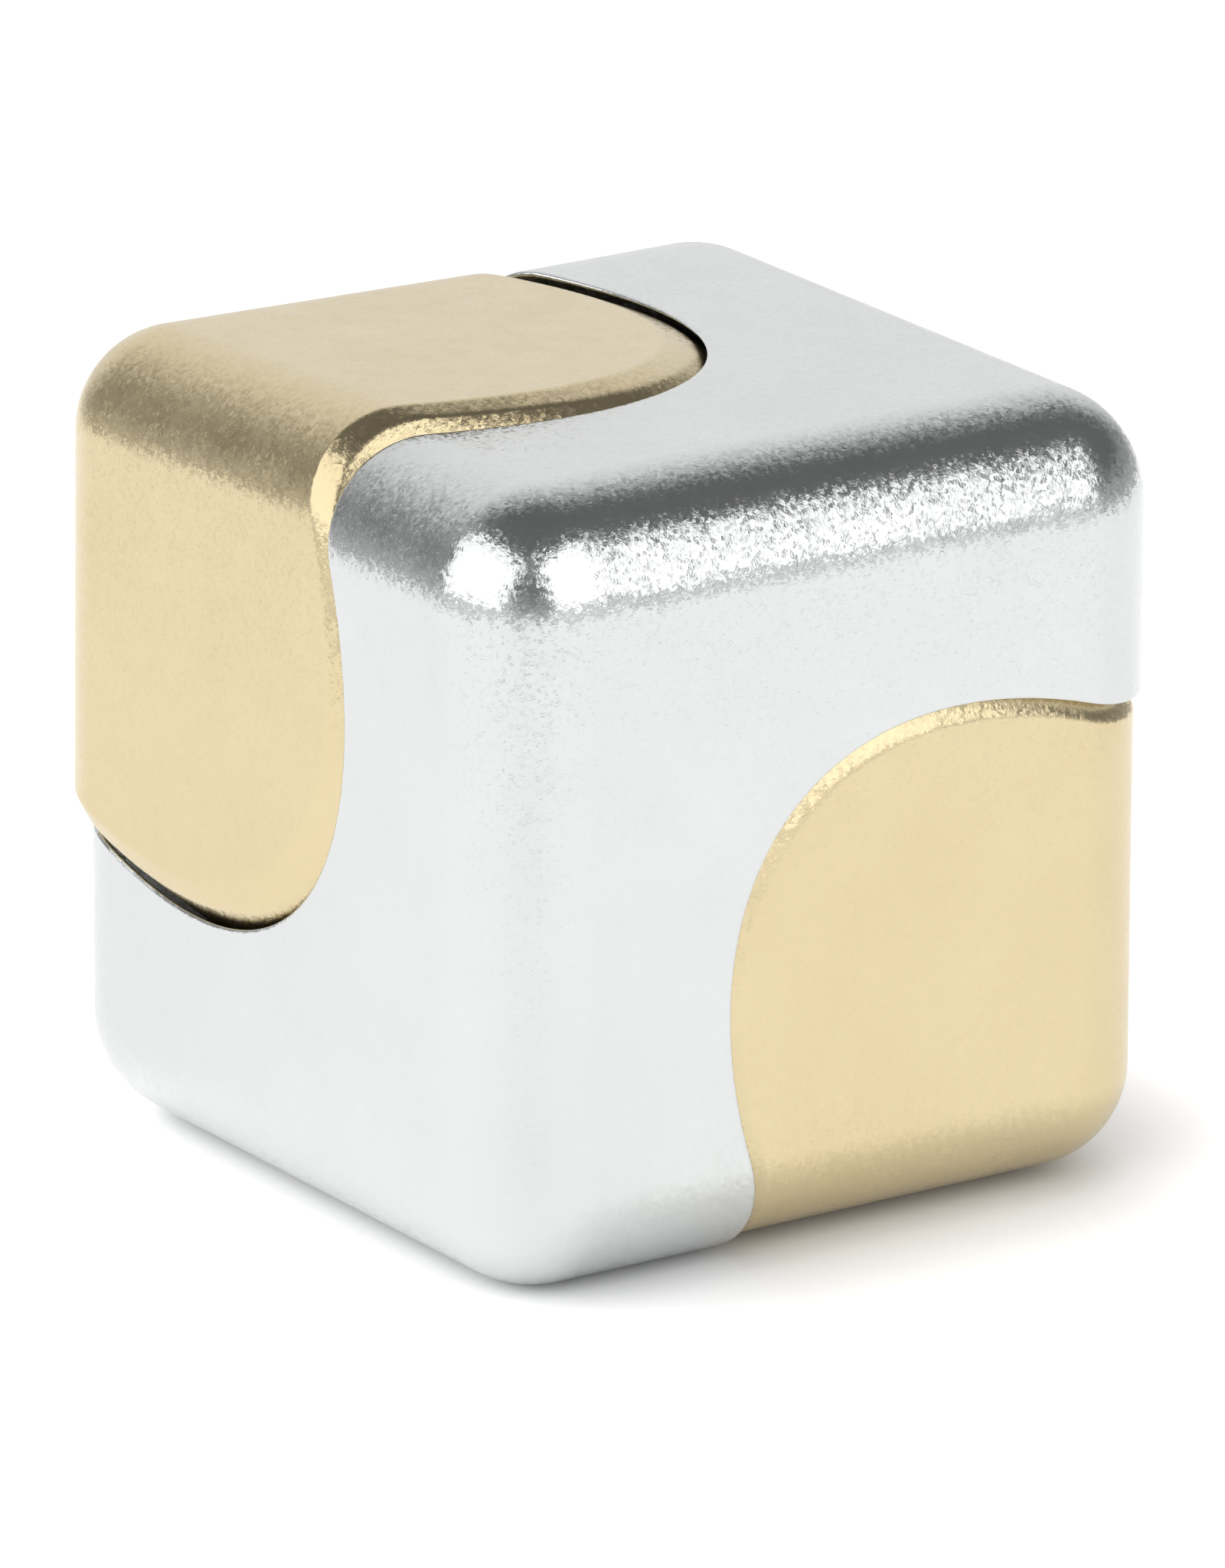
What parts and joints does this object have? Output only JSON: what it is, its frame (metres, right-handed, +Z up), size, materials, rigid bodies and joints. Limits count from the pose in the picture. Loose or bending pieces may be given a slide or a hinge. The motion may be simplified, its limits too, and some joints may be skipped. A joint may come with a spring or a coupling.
{
  "type": "fidget cube",
  "caption": "Palm-sized rounded aluminium cube whose opposite gold corner caps spin together about its body diagonal on a hidden ball bearing.",
  "frame": {"origin": "centre of the body's flat bottom face, on the surface it stands on", "axes": "+Z up; X, Y and Z run along the cube's edges; the spin axis is the body diagonal from the lower cap's corner (+X, -Y, bottom) to the upper cap's corner (-X, +Y, top)"},
  "size_m": [0.0266, 0.0266, 0.0266],
  "materials": {
    "silver_aluminium": "bead-blasted, clear anodised, satin",
    "gold_aluminium": "bead-blasted, gold anodised, satin",
    "bearing_steel": "ground bearing steel",
    "ball_steel": "polished",
    "cage_nylon": "natural moulded nylon",
    "shield_steel": "pressed bright steel",
    "spring_steel": "phosphated spring steel",
    "shim_steel": "rolled stainless steel",
    "black_steel": "black oxide"
  },
  "bodies": {
    "cube_body": {"body": "silver_aluminium", "bearing_outer_ring": "bearing_steel", "upper_shield": "shield_steel", "lower_shield": "shield_steel", "retaining_ring": "spring_steel"},
    "cap_pair": {"upper_cap": "gold_aluminium", "lower_cap": "gold_aluminium", "axle_stud": "black_steel", "bearing_inner_ring": "bearing_steel", "upper_shim": "shim_steel", "lower_shim": "shim_steel"},
    "ball_cage": {"bearing_cage": "cage_nylon"},
    "ball_01_roller": {"ball_01": "ball_steel"},
    "ball_02_roller": {"ball_02": "ball_steel"},
    "ball_03_roller": {"ball_03": "ball_steel"},
    "ball_04_roller": {"ball_04": "ball_steel"},
    "ball_05_roller": {"ball_05": "ball_steel"},
    "ball_06_roller": {"ball_06": "ball_steel"},
    "ball_07_roller": {"ball_07": "ball_steel"},
    "ball_08_roller": {"ball_08": "ball_steel"},
    "ball_09_roller": {"ball_09": "ball_steel"},
    "ball_10_roller": {"ball_10": "ball_steel"}
  },
  "joints": [
    {"name": "cap_spin", "type": "hinge", "parent": "cube_body", "child": "cap_pair", "pos_m": [0, 0, 0.013], "axis": [-0.5774, 0.5774, 0.5774], "continuous": true},
    {"name": "cage_spin", "type": "hinge", "parent": "cube_body", "child": "ball_cage", "pos_m": [0, 0, 0.013], "axis": [-0.5774, 0.5774, 0.5774], "continuous": true},
    {"name": "ball_01_roll", "type": "hinge", "parent": "ball_cage", "child": "ball_01_roller", "pos_m": [0.00376, 0.00101, 0.01575], "axis": [-0.5774, 0.5774, 0.5774], "continuous": true},
    {"name": "ball_02_roll", "type": "hinge", "parent": "ball_cage", "child": "ball_02_roller", "pos_m": [0.00363, 0.00302, 0.01361], "axis": [-0.5774, 0.5774, 0.5774], "continuous": true},
    {"name": "ball_03_roll", "type": "hinge", "parent": "ball_cage", "child": "ball_03_roller", "pos_m": [0.00212, 0.00388, 0.01123], "axis": [-0.5774, 0.5774, 0.5774], "continuous": true},
    {"name": "ball_04_roll", "type": "hinge", "parent": "ball_cage", "child": "ball_04_roller", "pos_m": [-0.0002, 0.00326, 0.00954], "axis": [-0.5774, 0.5774, 0.5774], "continuous": true},
    {"name": "ball_05_roll", "type": "hinge", "parent": "ball_cage", "child": "ball_05_roller", "pos_m": [-0.00245, 0.00139, 0.00916], "axis": [-0.5774, 0.5774, 0.5774], "continuous": true},
    {"name": "ball_06_roll", "type": "hinge", "parent": "ball_cage", "child": "ball_06_roller", "pos_m": [-0.00376, -0.00101, 0.01025], "axis": [-0.5774, 0.5774, 0.5774], "continuous": true},
    {"name": "ball_07_roll", "type": "hinge", "parent": "ball_cage", "child": "ball_07_roller", "pos_m": [-0.00363, -0.00302, 0.01239], "axis": [-0.5774, 0.5774, 0.5774], "continuous": true},
    {"name": "ball_08_roll", "type": "hinge", "parent": "ball_cage", "child": "ball_08_roller", "pos_m": [-0.00212, -0.00388, 0.01477], "axis": [-0.5774, 0.5774, 0.5774], "continuous": true},
    {"name": "ball_09_roll", "type": "hinge", "parent": "ball_cage", "child": "ball_09_roller", "pos_m": [0.0002, -0.00326, 0.01646], "axis": [-0.5774, 0.5774, 0.5774], "continuous": true},
    {"name": "ball_10_roll", "type": "hinge", "parent": "ball_cage", "child": "ball_10_roller", "pos_m": [0.00245, -0.00139, 0.01684], "axis": [-0.5774, 0.5774, 0.5774], "continuous": true}
  ],
  "couplings": [
    {"joint": "cage_spin", "follows": "cap_spin", "ratio": 0.3959},
    {"joint": "ball_01_roll", "follows": "cap_spin", "ratio": -2.2963},
    {"joint": "ball_02_roll", "follows": "cap_spin", "ratio": -2.2963},
    {"joint": "ball_03_roll", "follows": "cap_spin", "ratio": -2.2963},
    {"joint": "ball_04_roll", "follows": "cap_spin", "ratio": -2.2963},
    {"joint": "ball_05_roll", "follows": "cap_spin", "ratio": -2.2963},
    {"joint": "ball_06_roll", "follows": "cap_spin", "ratio": -2.2963},
    {"joint": "ball_07_roll", "follows": "cap_spin", "ratio": -2.2963},
    {"joint": "ball_08_roll", "follows": "cap_spin", "ratio": -2.2963},
    {"joint": "ball_09_roll", "follows": "cap_spin", "ratio": -2.2963},
    {"joint": "ball_10_roll", "follows": "cap_spin", "ratio": -2.2963}
  ]
}
